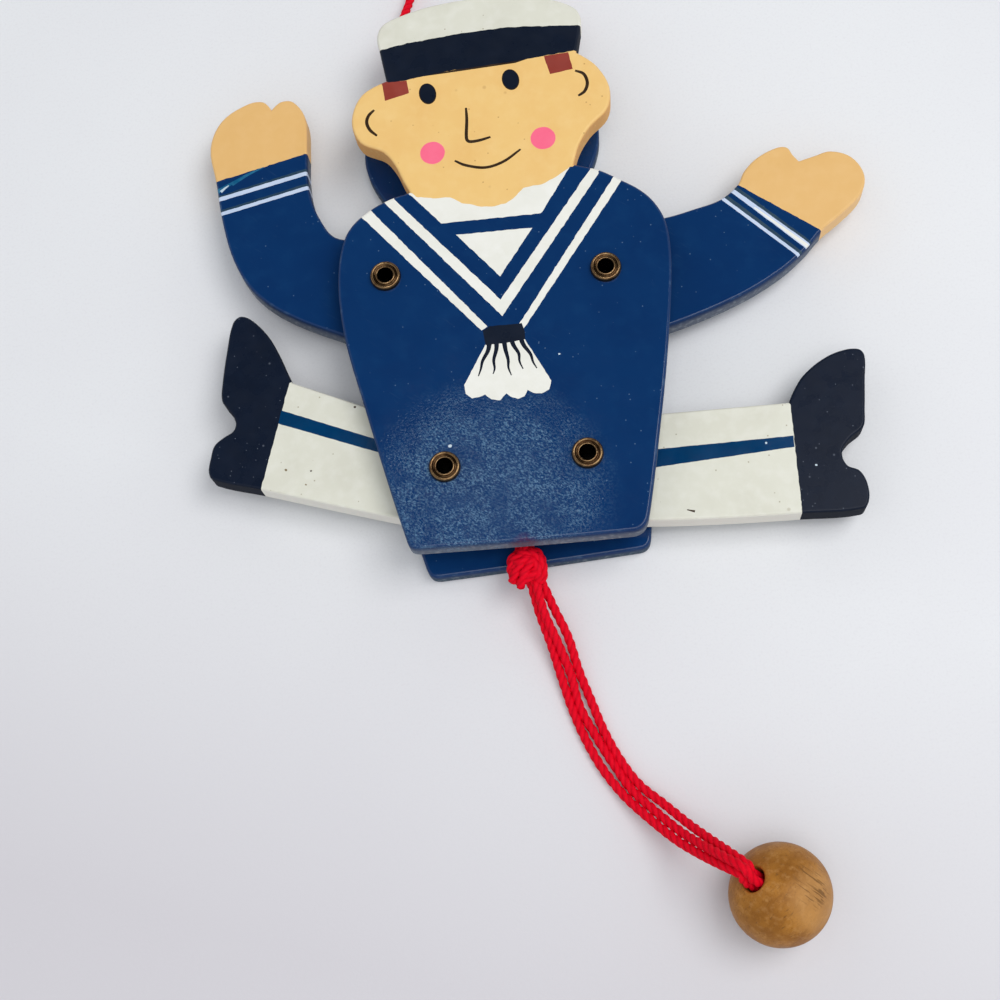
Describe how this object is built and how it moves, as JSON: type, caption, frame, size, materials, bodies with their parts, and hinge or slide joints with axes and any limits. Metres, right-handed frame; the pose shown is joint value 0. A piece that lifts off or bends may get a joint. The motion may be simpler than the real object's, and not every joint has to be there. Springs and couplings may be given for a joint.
{
  "type": "jumping jack",
  "caption": "Flat wooden sailor whose arms and legs swing on hollow eyelets between two boards when the cord below is pulled by its wooden ball.",
  "frame": {"origin": "On the flat back of the figure, on its middle line at the height of the hip eyelets", "axes": "+Z out of the front face, +Y towards the head, +X to the viewer's right; the figure lies on its back"},
  "size_m": [0.1325, 0.2402, 0.0192],
  "materials": {
    "navy_wood": "satin paint",
    "cream_wood": "satin paint",
    "bare_wood": "bare, lightly waxed",
    "brass": "antique",
    "red_cord": "twisted",
    "twine": "twisted"
  },
  "bodies": {
    "figure": {"front_board": "navy_wood", "back_board": "navy_wood", "head_spacer": "bare_wood", "shoulder_eyelet_left": "brass", "shoulder_eyelet_right": "brass", "hip_eyelet_left": "brass", "hip_eyelet_right": "brass", "hanging_cord": "red_cord", "hanging_knot": "red_cord"},
    "pull": {"arm_link_cord": "twine", "arm_link_knot": "red_cord", "arm_end_knots": "twine", "leg_link_cord": "twine", "leg_link_knot": "red_cord", "leg_end_knots": "twine", "arm_pull_cord": "red_cord", "leg_pull_cord": "red_cord", "pull_knot": "red_cord", "pull_strand_left": "red_cord", "pull_strand_middle": "red_cord", "pull_strand_right": "red_cord", "ball": "bare_wood", "ball_knot": "red_cord"},
    "arm_left": {"arm_left": "navy_wood"},
    "arm_right": {"arm_right": "navy_wood"},
    "leg_left": {"leg_left": "cream_wood"},
    "leg_right": {"leg_right": "cream_wood"}
  },
  "joints": [
    {"name": "cord_pull", "type": "slide", "parent": "figure", "child": "pull", "axis": [0, -1, 0], "range_m": [-0.0085, 0.0008]},
    {"name": "arm_left_swing", "type": "hinge", "parent": "figure", "child": "arm_left", "pos_m": [-0.0216, 0.04, 0.0075], "axis": [0, 0, 1], "range_deg": [-7, 73]},
    {"name": "arm_right_swing", "type": "hinge", "parent": "figure", "child": "arm_right", "pos_m": [0.0205, 0.0363, 0.0075], "axis": [0, 0, 1], "range_deg": [-73, 7]},
    {"name": "leg_left_swing", "type": "hinge", "parent": "figure", "child": "leg_left", "pos_m": [-0.0137, 0.0003, 0.0075], "axis": [0, 0, 1], "range_deg": [-7, 73]},
    {"name": "leg_right_swing", "type": "hinge", "parent": "figure", "child": "leg_right", "pos_m": [0.0128, -0.0003, 0.0075], "axis": [0, 0, 1], "range_deg": [-73, 7]}
  ],
  "couplings": [
    {"joint": "arm_left_swing", "follows": "cord_pull", "rad_per_m": -148.57},
    {"joint": "arm_right_swing", "follows": "cord_pull", "rad_per_m": 148.57},
    {"joint": "leg_left_swing", "follows": "cord_pull", "rad_per_m": -148.57},
    {"joint": "leg_right_swing", "follows": "cord_pull", "rad_per_m": 148.57}
  ]
}
